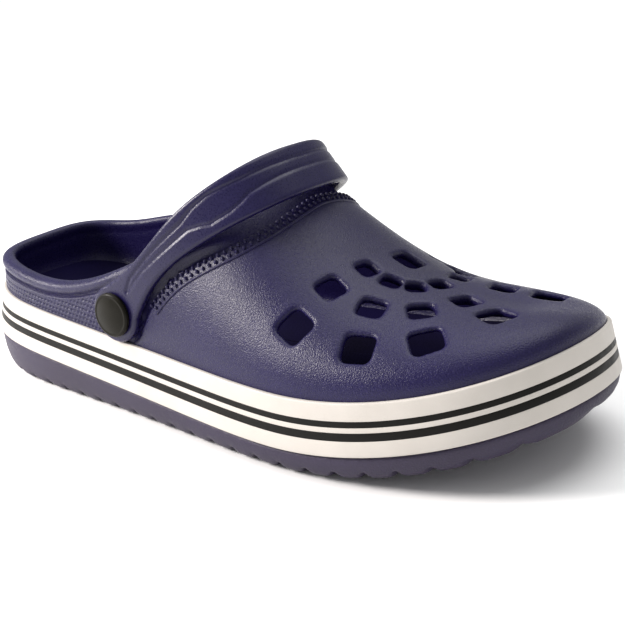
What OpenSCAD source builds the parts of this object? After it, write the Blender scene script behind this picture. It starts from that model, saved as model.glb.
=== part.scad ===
/* [Sole] */
// Length of the sole at the top edge of the white band
sole_length = 290; // [280:1:300]
// Width of the sole at the ball of the foot, at the top edge of the band
sole_width = 114; // [108:1:118]
// Height of the band's lower edge above the ground under the ball of the foot
band_bottom = 10; // [9:0.5:11]
// Height of the band's upper edge there
band_top = 29; // [28:0.5:30]
// How far the band's lower edge stands outside its upper edge
band_lean = 4; // [3:0.5:4.5]
// Thickness of the band at its upper edge
band_edge = 1.5; // [1.5:0.1:2]
// Rise of the toe end above the ball of the foot
toe_spring = 20; // [16:1:22]
// Rise of the band towards the heel
heel_rise = 10; // [8:1:11]
// Depth that each black stripe is let into the band
stripe_depth = 1; // [0.8:0.1:1.2]

/* [Tread] */
// Distance between the tread bars
tread_pitch = 12; // [10:1:14]
// Width of the gap between two tread bars
tread_gap = 3; // [2:0.5:4]
// Depth of the gaps
tread_depth = 2.5; // [1.5:0.5:3]

/* [Upper] */
// Wall thickness of the moulded upper
wall = 5; // [4.5:0.1:5.2]
// Height of the rim at the back of the heel
heel_rim = 56.5; // [56:0.5:58]
// Slope of the throat opening
throat_slope = 0.85; // [0.8:0.01:0.9]
// Depth of the seat that the strap lies over
seat_depth = 1.2; // [1:0.1:1.5]

/* [Vents] */
// Width of the vents next to the middle one
vent_small = 6.8; // [6:0.2:7.4]
// Growth of the vents from row to row
vent_growth = 2; // [1.4:0.1:2.2]
// Distance from the middle vent to the first row
vent_first = 21; // [20:0.5:22]
// Distance between the rows
vent_step = 17.8; // [17:0.1:18]

/* [Strap] */
// Reach of the strap from its rivets to its arch
strap_reach = 86.5; // [86:0.5:89]
// Lean of the strap above level at rest
strap_angle = 40.2; // [40:0.1:43]
// Thickness of the strap
strap_thick = 4; // [3.6:0.1:4.2]
// Radius of the round ends of the strap
lobe_r = 12; // [11:0.1:12]

/* [Rivets] */
// Diameter of the rivet cap
cap_d = 18.4; // [17:0.2:19]
// Height of the rivet cap
cap_h = 3; // [2.5:0.1:3.4]
// Diameter of the rivet shank that the strap turns on
shank_d = 8; // [7:0.5:9]
// Radial clearance between the shank and the strap
run_gap = 0.05; // [0.03:0.01:0.08]
// Diameter of the stud that snaps into the backing rivet
stud_d = 5; // [4:0.5:5]
// Diameter of the backing rivet's flange
back_d = 16; // [14:0.5:17]

/* [Hidden] */
$fn = 64;

navy = [0.24, 0.22, 0.33];
white = [0.93, 0.91, 0.88];
black = [0.13, 0.13, 0.12];
olive = [0.23, 0.22, 0.18];

// The plan outline is a closed uniform cubic B-spline: from the heel along the outer (lateral) side to
// the toe, and back along the inner side. X runs from the heel to the toe.
outline_fit = [sole_length / 290, sole_width / 114];
outline = [for (p = [[0, 2], [-1, -25], [21, -40], [62, -44], [105, -48], [150, -54], [193, -60],
    [235, -56], [270, -41], [289, -14], [288, 20], [271, 45], [235, 57], [190, 56], [145, 49],
    [105, 42], [60, 41], [21, 40], [0, 27]]) [p[0] * outline_fit[0], p[1] * outline_fit[1]]];
knot_step = 30;
// Profiles with a knot every 30 mm from the heel: ridge height and ridge place across, then for the
// outer and the inner side how far the wall rises steeply from the sole, how far the crown stays flat,
// and how far the wall swells outwards. The inner side draws in over the arch of the foot.
ridge_z = [104, 104, 104, 106, 107, 101, 79.5, 61.5, 57, 50.5, 42];
ridge_y = [0, 0, 0, 0, 1, 2, 3, 3, 6.5, 8, 8];
wall_rise = [[40, 40, 40, 38, 34, 26, 22, 20, 18, 16, 14], [40, 40, 40, 38, 34, 25, 19, 14, 10, 12, 5]];
crown_flat = [[20, 24, 28, 30, 32, 33, 30, 28, 23, 20, 18], [20, 24, 28, 30, 32, 38, 34, 26, 19, 15, 12]];
wall_swell = [[0, 0, 0, 0, 1, 2, 3, 3, 2, 1, 0], [0, 0, -1, -2, -7, -9, -4, 1, 1, -3, -3]];
// Height of the rim over the heel quarter, with the same knots, on the outer and on the inner side
rim_z = [[heel_rim, 53, 50.5, 58, 72, 84, 90], [heel_rim, 53, 62, 62, 72, 84, 90]];
rim_tilt = 2.9;           // the rim is higher on the inner side
throat_start = [118, 64]; // where the rim turns into the throat
ridge_start = 45;
ridge_end = 248;
ball_x = 190;             // from here on the toe rises

stations = 42;            // along each side
loop_n = 2 * stations;
dome_rows = 13;
upper_foot = 22;          // the upper and the footbed stand on the midsole here
insert_gap = 0.3;
glue = 0.1;               // between the layers of the sole
sole_inset = 3.5;         // the tread is this much smaller than the sole
rivet_x = 103.5;
rivet_z = 44.4;
boss_y = [-46.2, 43];   // faces of the two bosses that carry the strap
boss_r = 11;
slide_gap = 0.3;          // strap to boss
head_gap = 0.2;           // cap to strap
rivet_wall = 7.4;         // boss face to the flange of the backing rivet
flange = 1.8;
vent_hub = [207.7, 8.8];
// The rays of vents fan out in pairs from a centre line that points slightly outwards. There is room
// for one row less on the inner side, which is nearer to the middle vent.
vent_axis = -5.5;
vent_rays = [18, 46, 71.5, 98.5];
vent_reach = [0.95, 1.01, 1, 1.02];
vent_rows = 3;
centre_shift = [1.25 - sole_length / 2, 1.15, 0];

function bspline(a, b, c, d, t) =
    (pow(1 - t, 3) * a + (3 * pow(t, 3) - 6 * t * t + 4) * b
        + (-3 * pow(t, 3) + 3 * t * t + 3 * t + 1) * c + pow(t, 3) * d) / 6;
// Point of the closed outline at parameter u, one unit per control point
function outline_at(u) =
    let (n = len(outline), i = floor(u), g = function(k) outline[(i + k + n) % n])
    bspline(g(-1), g(0), g(1), g(2), u - i);
function outward(u) =
    let (d = outline_at(u + 0.01) - outline_at(u - 0.01)) [d[1], -d[0]] / norm(d);
// Value at x of a profile with equal knots, held at both ends
function profile(v, x, step = knot_step) =
    let (n = len(v), t = min(max(x / step, 0), n - 1.001), i = floor(t),
        g = function(k) v[min(max(i + k, 0), n - 1)])
    bspline(g(-1), g(0), g(1), g(2), t - i);

function toe_rise(x) = toe_spring * pow(max(0, (x - ball_x) / 100), 2);
function heel_round(x) = 1.5 * pow(max(0, (30 - x) / 30), 2);
function rise(x) = toe_rise(x) + heel_round(x) + heel_rise * pow(max(0, (ball_x - x) / ball_x), 1.5);

function station(k) = len(outline) * k / loop_n;
// Point of a loop around the shoe: inset from the outline, at height z over the rising base line
function loop_point(k, inset, z) =
    let (p = outline_at(station(k)), q = p - outward(station(k)) * inset)
    [q[0], q[1], z + rise(p[0])];
function loop_at(inset, z) = [for (k = [0:loop_n - 1]) loop_point(k, inset, z)];
// The same for the tread, which follows the ground up to the ball of the foot
function tread_loop(inset, share) = [for (k = [0:loop_n - 1])
    let (p = outline_at(station(k)), q = p - outward(station(k)) * inset,
        low = toe_rise(p[0]) + heel_round(p[0]))
    [q[0], q[1], low + share * (band_bottom + rise(p[0]) - low)]];

function flatten(lists) = [for (l = lists) each l];
function reversed(list) = [for (i = [len(list) - 1:-1:0]) list[i]];
function quad(a, b, c, d) = [[a, b, c], [a, c, d]];
function band_faces(rows, close = false) = flatten([for (r = [0:rows - (close ? 1 : 2)])
    for (k = [0:loop_n - 1])
        let (k2 = (k + 1) % loop_n, r2 = (r + 1) % rows)
        quad(r * loop_n + k, r2 * loop_n + k, r2 * loop_n + k2, r * loop_n + k2)]);
// Strips from one side to the other close a loop
function lid_faces(first, up) = flatten([for (k = [0:stations - 1])
    let (a = first + k, b = a + 1, c = first + loop_n - k - 1, d = first + (loop_n - k) % loop_n)
    [for (t = [if (k < stations - 1) [a, c, b], if (k > 0) [a, d, c]]) up ? t : reversed(t)]]);

// A solid from loops stacked from the lowest to the highest
module slab(loops) {
    n = len(loops);
    polyhedron(flatten(loops),
        concat(lid_faces(0, false), band_faces(n), lid_faces((n - 1) * loop_n, true)));
}

// A solid ring: the section's points are [inset, z], from the inner lower corner up the inner face
module ring(section) {
    polyhedron(flatten([for (s = section) loop_at(s[0], s[1])]), band_faces(len(section), true));
}

// The dome over the foot: every column is a cubic curve from the sole to the ridge
function base_x(k) = (outline_at(station(k))[0] + outline_at(station((loop_n - k) % loop_n))[0]) / 2;
function ridge_point(k, drop) =
    let (x = ridge_start + (ridge_end - ridge_start) * max(base_x(k), 0) / sole_length)
    [x, profile(ridge_y, x), profile(ridge_z, x) - drop];
function ridge_slope(x) = (profile(ridge_z, x + 1) - profile(ridge_z, x - 1)) / 2;
// Value of a pair of profiles, one for each side, which run into each other around the toe
function sided(pair, x, y) =
    let (w = min(max((y + 20) / 45, 0), 1)) profile(pair[0], x) * (1 - w) + profile(pair[1], x) * w;
function dome_point(k, v, thick) =
    let (b = loop_point(k, band_edge + thick, band_top), r = ridge_point(k, thick),
        o = outward(station(k)), base = outline_at(station(k)), x = base[0], y = base[1],
        swell = sided(wall_swell, x, y),
        p1 = b + [o[0] * swell, o[1] * swell, sided(wall_rise, x, y)],
        d = [b[0] - r[0], b[1] - r[1]], e = d / norm(d) * sided(crown_flat, x, y),
        p2 = r + [e[0], e[1], ridge_slope(r[0]) * e[0]], w = 1 - v)
    w * w * w * b + 3 * w * w * v * p1 + 3 * w * v * v * p2 + v * v * v * r;

module dome(thick, foot) {
    rows = dome_rows + 3;
    under = [loop_at(band_edge + wall + insert_gap, foot), loop_at(band_edge + wall, foot),
        loop_at(band_edge + thick, foot)];
    points = concat(flatten(under),
        flatten([for (j = [0:dome_rows - 1])
            [for (k = [0:loop_n - 1]) dome_point(k, j / dome_rows, thick)]]),
        [for (k = [0:stations]) ridge_point(k, thick)]);
    last = (rows - 1) * loop_n;
    top = last + loop_n;
    faces = concat(lid_faces(0, false), band_faces(rows),
        flatten([for (k = [0:loop_n - 1])
            let (k2 = (k + 1) % loop_n, a = top + min(k, loop_n - k), b = top + min(k2, loop_n - k2))
            quad(last + k, a, b, last + k2)]));
    polyhedron(points, faces);
}

// Everything above the topline: the rim of the heel, then the straight rise of the throat
module topline_cut() {
    end = 200;
    reach = 150;
    lap = 1; // of the two halves
    throat = [for (x = [throat_start[0], end])
        [x, throat_start[1] + throat_slope * (x - throat_start[0])]];
    for (side = [0, 1])
        rotate([90 + rim_tilt, 0, 0])
            translate([0, 0, side == 0 ? -lap : -reach])
                linear_extrude(height = reach + lap)
                    polygon(concat([for (x = [-30:6:throat_start[0]]) [x, profile(rim_z[side], x)]],
                        throat, [[end, 300], [-30, 300]]));
}

// The nearest grid point of the dome to a point in plan, as [place, normal]
dome_grid = [for (k = [4:loop_n - 4]) if (abs(k - stations) > 1) for (j = [1:dome_rows - 1])
    let (p = dome_point(k, j / dome_rows, 0),
        along = dome_point(k + 0.5, j / dome_rows, 0) - dome_point(k - 0.5, j / dome_rows, 0),
        up = dome_point(k, (j + 0.5) / dome_rows, 0) - dome_point(k, (j - 0.5) / dome_rows, 0),
        n = cross(along, up))
    [p, n / norm(n)]];
function dome_near(x, y) =
    let (gap = [for (g = dome_grid) norm([g[0][0] - x, g[0][1] - y])], least = min(gap),
        hit = [for (i = [0:len(gap) - 1]) if (gap[i] == least) i][0])
    dome_grid[hit];
// Height of the dome there, from the tangent plane at that grid point
function dome_height(x, y) =
    let (g = dome_near(x, y)) g[0][2] - (g[1][0] * (x - g[0][0]) + g[1][1] * (y - g[0][1])) / g[1][2];

// One vent: a rounded square across the wall, with one side facing the middle vent
module vent(x, y, angle, size) {
    corner = size / 5;
    n = dome_near(x, y)[1];
    ray = [cos(angle), sin(angle), 0];
    u = (ray - n * (ray * n)) / norm(ray - n * (ray * n));
    v = cross(n, u);
    multmatrix([[u[0], v[0], n[0], x], [u[1], v[1], n[1], y], [u[2], v[2], n[2], dome_height(x, y)],
        [0, 0, 0, 1]])
        hull()
            for (i = [-1, 1], j = [-1, 1])
                translate([i * (size / 2 - corner), j * (size / 2 - corner), 0])
                    cylinder(r = corner, h = 3 * wall, center = true, $fn = 16);
}

module vents() {
    vent(vent_hub[0], vent_hub[1], 0, vent_small + vent_growth);
    for (i = [0:len(vent_rays) - 1], side = [-1, 1])
        for (row = [0:vent_rows - (side > 0 && i > 0 ? 2 : 1)]) {
            angle = vent_axis + side * vent_rays[i];
            reach = (vent_first + row * vent_step) * vent_reach[i];
            vent(vent_hub[0] + reach * cos(angle), vent_hub[1] + reach * sin(angle), angle,
                vent_small + row * vent_growth);
        }
}

// Places things on the rivet axis, with +Z pointing out of the shoe from the boss face
module on_rivet(side) {
    translate([rivet_x, boss_y[side], rivet_z])
        rotate([side == 0 ? 90 : -90, 0, 0])
            children();
}

module rivet_boss(side) {
    edge = band_top + rise(rivet_x - boss_r) + 0.2;
    intersection() {
        on_rivet(side)
            translate([0, 0, -rivet_wall])
                cylinder(r = boss_r, h = rivet_wall);
        translate([0, -100, edge])
            cube([200, 200, 50]);
    }
}

// The shank's hole, the pocket of the backing rivet, and the flat seat of the strap's round end
module rivet_room(side) {
    on_rivet(side) {
        cylinder(r = lobe_r + 1.5, h = 20, $fn = 48);
        cylinder(d = shank_d + 0.3, h = 40, center = true, $fn = 48);
        translate([0, 0, -rivet_wall - 20])
            cylinder(d = back_d + 0.6, h = 20, $fn = 48);
    }
}

// The space under the strap at rest, where the side of the vamp is let in
module strap_seat() {
    in_strap()
        difference() {
            rotate([90, 0, 0])
                linear_extrude(height = 200, center = true)
                    polygon([[8, -14], [30, -11], [58, -9.5], [100, -14], [100, 16], [8, 16]]);
            linear_extrude(height = 200, center = true)
                polygon(strap_curve(-strap_thick / 2 - seat_depth));
        }
}

module upper() {
    color(navy)
        shoe_frame()
            difference() {
                union() {
                    difference() {
                        dome(0, upper_foot + glue);
                        strap_seat();
                    }
                    rivet_boss(0);
                    rivet_boss(1);
                }
                dome(wall, upper_foot - 2);
                topline_cut();
                vents();
                rivet_room(0);
                rivet_room(1);
            }
}

module footbed() {
    edge = band_edge + wall + insert_gap;
    color(navy)
        shoe_frame()
            slab([loop_at(edge, upper_foot + glue), loop_at(edge, upper_foot + 5.5),
                loop_at(edge + 3, upper_foot + 5), loop_at(edge + 9, upper_foot + 3.5)]);
}

module midsole() {
    color(white)
        shoe_frame()
            slab([loop_at(band_edge + 15, band_foot), loop_at(band_edge + wall, band_foot),
                loop_at(band_edge, band_foot),
                loop_at(band_edge, upper_foot), loop_at(band_edge + wall, upper_foot),
                loop_at(band_edge + wall + insert_gap, upper_foot)]);
}

// Bars across the sole under the heel and the forefoot, and the hollow of the arch between them
module tread_gaps() {
    below = 1;
    edge = 0.1;
    for (x = [tread_pitch:tread_pitch:sole_length + 10])
        hull()
            for (dx = [-1, 1], z = [0, 1])
                translate([x + dx * (tread_gap - z) / 2 - edge / 2, -80,
                    toe_rise(x) - below + z * (tread_depth + below)])
                    cube([edge, 160, edge]);
    translate([0, 0, -1])
        hull()
            for (y = [-1, 1])
                translate([118, y * 24, 0])
                    cylinder(r1 = 17, r2 = 14, h = 5);
}

module outsole() {
    color(navy)
        shoe_frame()
            difference() {
                slab([tread_loop(sole_inset + 6, 0), tread_loop(sole_inset, 0),
                    tread_loop(0, 0.2), tread_loop(-band_lean + 1.4, 0.6),
                    tread_loop(-band_lean + 0.8, 1), tread_loop(band_edge, 1),
                    tread_loop(band_edge + wall, 1), tread_loop(band_edge + 15, 1)]);
                tread_gaps();
            }
}

// Inset of the band's outer face at a share of its height
function band_face(share) = -band_lean * (1 - share);
band_foot = band_bottom + glue;
band_h = band_top - band_foot;
// The black stripes: from and to, as shares of the band's height
low_stripe = [0.31, 0.45];
high_stripe = [0.56, 0.66];
function face_point(share, depth) = [band_face(share) + depth, band_foot + share * band_h];
function groove(s) = [face_point(s[0], 0), face_point(s[0], stripe_depth),
    face_point(s[1], stripe_depth), face_point(s[1], 0)];

module foxing_band() {
    outer = concat([face_point(0, 0)], groove(low_stripe), groove(high_stripe), [face_point(1, 0)]);
    color(white)
        shoe_frame()
            ring(concat(outer, [[band_edge, band_top], [band_edge, band_foot]]));
}

module stripe(s) {
    color(black)
        shoe_frame()
            ring(groove(s));
}

// Centre line of the strap seen along its own breadth, moved outwards by the given distance: a
// superellipse from rivet to rivet, rounder on the inner side, with straight ends past the rivets
strap_y = [boss_y[0] - slide_gap - strap_thick / 2, boss_y[1] + slide_gap + strap_thick / 2];
strap_mid = (strap_y[0] + strap_y[1]) / 2;
strap_half = (strap_y[1] - strap_y[0]) / 2;
strap_steps = 40;
function arch_s(t) = strap_reach * pow(abs(cos(t)), 2 / 2.2);
function arch_y(t) = strap_mid + sign(t) * strap_half * pow(abs(sin(t)), 2 / (t < 0 ? 3 : 2.4));
function strap_curve(out) =
    let (pts = concat([[-lobe_r - 1, strap_y[0]]],
            [for (i = [0:strap_steps]) let (t = -90 + 180 * i / strap_steps) [arch_s(t), arch_y(t)]],
            [[-lobe_r - 1, strap_y[1]]]),
        n = len(pts))
    [for (i = [0:n - 1])
        let (d = i == 0 || i == n - 1 ? [i == 0 ? 1 : -1, 0] : pts[i + 1] - pts[i - 1])
        pts[i] + out * [d[1], -d[0]] / norm(d)];

module in_strap() {
    translate([rivet_x, 0, rivet_z])
        rotate([0, -strap_angle, 0])
            children();
}

// Side view of the strap: its centre line bends a little, and it widens towards the arch
strap_knot = 18;
function strap_bend(s) = profile([0, 2, 4, 4.2, 2, -1], s, strap_knot);
function strap_half_width(s) = profile([12, 6.5, 6, 8.3, 9.3, 10.5], s, strap_knot);

module strap_side() {
    circle(r = lobe_r);
    reach = strap_reach + strap_thick;
    steps = [for (i = [0:14]) reach * i / 14];
    polygon(concat([for (s = steps) [s, strap_bend(s) - strap_half_width(s)]],
        [for (i = [14:-1:0]) [steps[i], strap_bend(steps[i]) + strap_half_width(steps[i])]]));
}

module heel_strap() {
    color(navy)
        shoe_frame()
            in_strap()
                difference() {
                    intersection() {
                        linear_extrude(height = 80, center = true)
                            polygon(concat(strap_curve(strap_thick / 2),
                                reversed(strap_curve(-strap_thick / 2))));
                        rotate([90, 0, 0])
                            linear_extrude(height = 160, center = true)
                                strap_side();
                    }
                    rotate([90, 0, 0])
                        cylinder(d = shank_d + 2 * run_gap, h = 200, center = true);
                }
}

// Domed cap with the shank and the stud behind it
module rivet_cap(side) {
    face = slide_gap + strap_thick + head_gap;
    shank_end = -rivet_wall / 2;
    edge = 1.2;
    color(olive)
        shoe_frame()
            on_rivet(side)
                rotate_extrude()
                    polygon(concat([[0, -rivet_wall], [stud_d / 2, -rivet_wall], [stud_d / 2, shank_end],
                        [shank_d / 2, shank_end], [shank_d / 2, face], [cap_d / 2, face]],
                        [for (a = [0:15:90]) [cap_d / 2 - edge + edge * cos(a), face + 1 + edge * sin(a)]],
                        [for (i = [1:6]) let (r = (cap_d / 2 - edge) * (1 - i / 6))
                            [r, face + 1 + edge + (cap_h - 1 - edge) * (1 - pow(1 - i / 6, 2))]]));
}

// Backing half of the rivet: a barrel in the wall and a flange on its inner face
module rivet_back(side) {
    color(olive)
        shoe_frame()
            on_rivet(side)
                difference() {
                    union() {
                        translate([0, 0, -rivet_wall])
                            cylinder(d = shank_d, h = rivet_wall / 2);
                        translate([0, 0, -rivet_wall - flange])
                            cylinder(d = back_d, h = flange);
                    }
                    translate([0, 0, -rivet_wall])
                        cylinder(d = stud_d, h = rivet_wall);
                }
}

// Moves the shoe so that the middle of its box is over the origin
module shoe_frame() {
    translate(centre_shift)
        children();
}

upper();
footbed();
midsole();
outsole();
foxing_band();
stripe(high_stripe);  // stripe_upper
stripe(low_stripe);  // stripe_lower
heel_strap();
rivet_cap(0);  // rivet_cap_lateral
rivet_cap(1);  // rivet_cap_medial
rivet_back(0);  // rivet_back_lateral
rivet_back(1);  // rivet_back_medial
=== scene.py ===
"""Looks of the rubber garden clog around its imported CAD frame.

Shapes are worked out in millimetres from the heel, as in the CAD source, with X to the toe and -Y to the
outer side. They move into the frame's metres when a piece is made. The moulded foam pieces are distance
fields on a block of voxels, which gives their soft edges, and become meshes with OpenVDB, which comes
with Blender.
"""

import math

import bpy
import numpy as np
import openvdb
from mathutils import Matrix, Vector


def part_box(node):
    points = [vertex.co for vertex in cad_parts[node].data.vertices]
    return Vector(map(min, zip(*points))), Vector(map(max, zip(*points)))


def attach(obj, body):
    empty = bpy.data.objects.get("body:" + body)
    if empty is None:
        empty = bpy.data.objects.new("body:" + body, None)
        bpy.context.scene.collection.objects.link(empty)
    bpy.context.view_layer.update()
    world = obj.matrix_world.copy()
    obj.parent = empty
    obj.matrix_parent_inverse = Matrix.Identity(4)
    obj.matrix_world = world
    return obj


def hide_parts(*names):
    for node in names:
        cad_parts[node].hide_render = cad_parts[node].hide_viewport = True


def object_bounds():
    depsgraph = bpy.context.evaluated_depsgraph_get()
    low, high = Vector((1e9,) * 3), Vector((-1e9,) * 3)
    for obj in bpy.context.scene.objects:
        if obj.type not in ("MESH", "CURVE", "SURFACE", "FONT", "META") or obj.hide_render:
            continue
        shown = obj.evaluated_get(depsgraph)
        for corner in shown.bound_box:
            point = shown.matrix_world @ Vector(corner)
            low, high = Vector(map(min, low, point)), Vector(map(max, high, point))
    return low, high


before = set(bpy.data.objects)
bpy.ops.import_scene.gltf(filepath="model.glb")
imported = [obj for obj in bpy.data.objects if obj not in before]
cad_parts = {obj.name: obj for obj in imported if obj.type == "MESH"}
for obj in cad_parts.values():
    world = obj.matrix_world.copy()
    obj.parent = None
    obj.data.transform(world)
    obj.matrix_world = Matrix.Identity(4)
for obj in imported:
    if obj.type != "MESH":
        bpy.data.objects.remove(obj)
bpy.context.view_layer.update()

# ---------------------------------------------------------------- shape of the shoe, as in the CAD source

OUTLINE = np.array(
    [
        [0, 2], [-1, -25], [21, -40], [62, -44], [105, -48], [150, -54], [193, -60], [235, -56],
        [270, -41], [289, -14], [288, 20], [271, 45], [235, 57], [190, 56], [145, 49], [105, 42],
        [60, 41], [21, 40], [0, 27],
    ],
    float,
)
KNOT = 30
RIDGE_Z = [104, 104, 104, 106, 107, 101, 79.5, 61.5, 57, 50.5, 42]
RIDGE_Y = [0, 0, 0, 0, 1, 2, 3, 3, 6.5, 8, 8]
# These have one profile for the outer and one for the inner side
WALL_RISE = ([40, 40, 40, 38, 34, 26, 22, 20, 18, 16, 14], [40, 40, 40, 38, 34, 25, 19, 14, 10, 12, 5])
CROWN_FLAT = ([20, 24, 28, 30, 32, 33, 30, 28, 23, 20, 18], [20, 24, 28, 30, 32, 38, 34, 26, 19, 15, 12])
WALL_SWELL = ([0, 0, 0, 0, 1, 2, 3, 3, 2, 1, 0], [0, 0, -1, -2, -7, -9, -4, 1, 1, -3, -3])
RIM_Z = ([56.5, 53, 50.5, 58, 72, 84, 90], [56.5, 53, 62, 62, 72, 84, 90])
RIM_TILT = math.radians(2.9)
THROAT_X, THROAT_Z, THROAT_SLOPE = 118, 64, 0.85
RIDGE_FROM, RIDGE_TO = 45, 248
LENGTH, BALL_X = 290, 190
TOE_SPRING, HEEL_RISE = 20, 10
BAND_BOTTOM, BAND_TOP, BAND_LEAN, BAND_EDGE = 10, 29, 4, 1.5
WALL, FOOT, GAP, GLUE = 5, 22, 0.3, 0.1
SOLE_INSET = 3.5
TREAD_PITCH, TREAD_GAP, TREAD_DEPTH = 12, 3, 2.5
RIVET_X, RIVET_Z = 103.5, 44.4
BOSS_Y, BOSS_R, BOSS_DEEP = (-46.2, 43), 11, 7.4
STRAP_REACH, STRAP_ANGLE, STRAP_THICK, LOBE_R = 86.5, math.radians(40.2), 4, 12
CAP_D, CAP_H, SHANK_D, STUD_D = 18.4, 3, 8, 5
HUB, VENT_AXIS, VENT_RAYS, VENT_REACH = (207.7, 8.8), -5.5, (18, 46, 71.5, 98.5), (0.95, 1.01, 1, 1.02)
VENT_SMALL, VENT_GROWTH, VENT_FIRST, VENT_STEP = 6.8, 2, 21, 17.8

LOOP = 480  # stations around the shoe


def bspline(a, b, c, d, t):
    return (
        (1 - t) ** 3 * a + (3 * t**3 - 6 * t * t + 4) * b + (-3 * t**3 + 3 * t * t + 3 * t + 1) * c + t**3 * d
    ) / 6


def outline_at(u):
    """Points of the closed outline at parameters u, one unit per control point."""
    n, i = len(OUTLINE), np.floor(u).astype(int)
    t = (u - i)[:, None]
    return bspline(*(OUTLINE[(i + k) % n] for k in (-1, 0, 1, 2)), t)


def outward(u):
    d = outline_at(u + 0.01) - outline_at(u - 0.01)
    return np.stack([d[:, 1], -d[:, 0]], 1) / np.linalg.norm(d, axis=1)[:, None]


def profile(values, x, step=KNOT):
    """Value at x of a profile with equal knots, held at both ends."""
    v = np.asarray(values, float)
    t = np.clip(np.asarray(x, float) / step, 0, len(v) - 1.001)
    i = np.floor(t).astype(int)
    return bspline(*(v[np.clip(i + k, 0, len(v) - 1)] for k in (-1, 0, 1, 2)), t - i)


def toe_rise(x):
    return TOE_SPRING * (np.maximum(0, x - BALL_X) / 100) ** 2


def heel_round(x):
    return 1.5 * (np.maximum(0, 30 - x) / 30) ** 2


def rise(x):
    return toe_rise(x) + heel_round(x) + HEEL_RISE * (np.maximum(0, BALL_X - x) / BALL_X) ** 1.5


def smoothstep(low, high, x):
    t = np.clip((x - low) / (high - low), 0, 1)
    return t * t * (3 - 2 * t)


def stations(n=LOOP):
    return np.arange(n) * len(OUTLINE) / n


def loop(inset, z, n=LOOP):
    """A loop around the shoe: inset from the outline, at height z over the rising base line."""
    u = stations(n)
    p = outline_at(u)
    return np.column_stack([p - outward(u) * inset, z + rise(p[:, 0])])


def tread_loop(inset, share, n=LOOP):
    """The same for the tread, which follows the ground up to the ball of the foot."""
    u = stations(n)
    p = outline_at(u)
    low = toe_rise(p[:, 0]) + heel_round(p[:, 0])
    return np.column_stack([p - outward(u) * inset, low + share * (BAND_BOTTOM + rise(p[:, 0]) - low)])


def sided(pair, x, y):
    """Value of a pair of profiles, one for each side, which run into each other around the toe."""
    w = smoothstep(-20, 25, y)
    return profile(pair[0], x) * (1 - w) + profile(pair[1], x) * w


def ridge(n=LOOP):
    x = outline_at(stations(n))[:, 0]
    x = (x + np.roll(x[::-1], 1)) / 2
    x = RIDGE_FROM + (RIDGE_TO - RIDGE_FROM) * np.maximum(x, 0) / LENGTH
    return np.column_stack([x, profile(RIDGE_Y, x), profile(RIDGE_Z, x)])


def dome(thick, v, n=LOOP):
    """Points of the dome, an array (len(v), n, 3): each column is a cubic curve up to the ridge."""
    u = stations(n)
    base = outline_at(u).T
    b, r = loop(BAND_EDGE + thick, BAND_TOP, n), ridge(n) - [0, 0, thick]
    p1 = b + np.column_stack([outward(u) * sided(WALL_SWELL, *base)[:, None], sided(WALL_RISE, *base)])
    d = (b - r)[:, :2]
    e = d / np.linalg.norm(d, axis=1)[:, None] * sided(CROWN_FLAT, *base)[:, None]
    slope = (profile(RIDGE_Z, r[:, 0] + 1) - profile(RIDGE_Z, r[:, 0] - 1)) / 2
    p2 = r + np.column_stack([e, slope * e[:, 0]])
    t = np.asarray(v, float)[:, None, None]
    w = 1 - t
    return w**3 * b + 3 * w * w * t * p1 + 3 * w * t * t * p2 + t**3 * r


def topline(x, y):
    """Height of the rim, and of the throat in front of the strap."""
    inner = smoothstep(-8, 8, y)
    rim = profile(RIM_Z[0], x) * (1 - inner) + profile(RIM_Z[1], x) * inner
    throat = THROAT_Z + THROAT_SLOPE * (x - THROAT_X)
    w = smoothstep(108, 124, x)
    return rim * (1 - w) + throat * w


def below_rim(x, y, z):
    """How far a point lies below the rim, measured upright."""
    return topline(x, y) - (z * math.cos(RIM_TILT) - y * math.sin(RIM_TILT))


# ---------------------------------------------------------------- the strap, along its own axes
# s is the reach from the rivets, y runs across the shoe and w over the strap's breadth

STRAP_Y = (BOSS_Y[0] - GAP - STRAP_THICK / 2, BOSS_Y[1] + GAP + STRAP_THICK / 2)
STRAP_KNOT = 18
END_REACH, END_POINTS = -40, 200  # the straight ends of the strap's centre line


def to_strap(x, z):
    c, s = math.cos(STRAP_ANGLE), math.sin(STRAP_ANGLE)
    return (x - RIVET_X) * c + (z - RIVET_Z) * s, -(x - RIVET_X) * s + (z - RIVET_Z) * c


def from_strap(p):
    c, s = math.cos(STRAP_ANGLE), math.sin(STRAP_ANGLE)
    x = RIVET_X + p[:, 0] * c - p[:, 2] * s
    return np.column_stack([x, p[:, 1], RIVET_Z + p[:, 0] * s + p[:, 2] * c])


def strap_line():
    """The strap's centre line as points (s, y), and the length run from the outer rivet."""
    t = np.radians(np.linspace(-90, 90, 1201))
    middle, half = sum(STRAP_Y) / 2, (STRAP_Y[1] - STRAP_Y[0]) / 2
    s = STRAP_REACH * np.abs(np.cos(t)) ** (2 / 2.2)
    y = middle + np.sign(t) * half * np.abs(np.sin(t)) ** np.where(t < 0, 2 / 3, 2 / 2.4)
    end = np.linspace(END_REACH, -0.2, END_POINTS)
    near = np.column_stack([end, end * 0 + y[0]])
    far = np.column_stack([end[::-1], end * 0 + y[-1]])
    line = np.concatenate([near, np.column_stack([s, y]), far])
    run = np.concatenate([[0], np.cumsum(np.hypot(*np.diff(line, axis=0).T))])
    return line, run - run[len(end)]


def strap_bend(s):
    return profile([0, 2, 4, 4.2, 2, -1], s, STRAP_KNOT)


def strap_half_width(s):
    return profile([12, 6.5, 6, 8.3, 9.3, 10.5], s, STRAP_KNOT)


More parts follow.
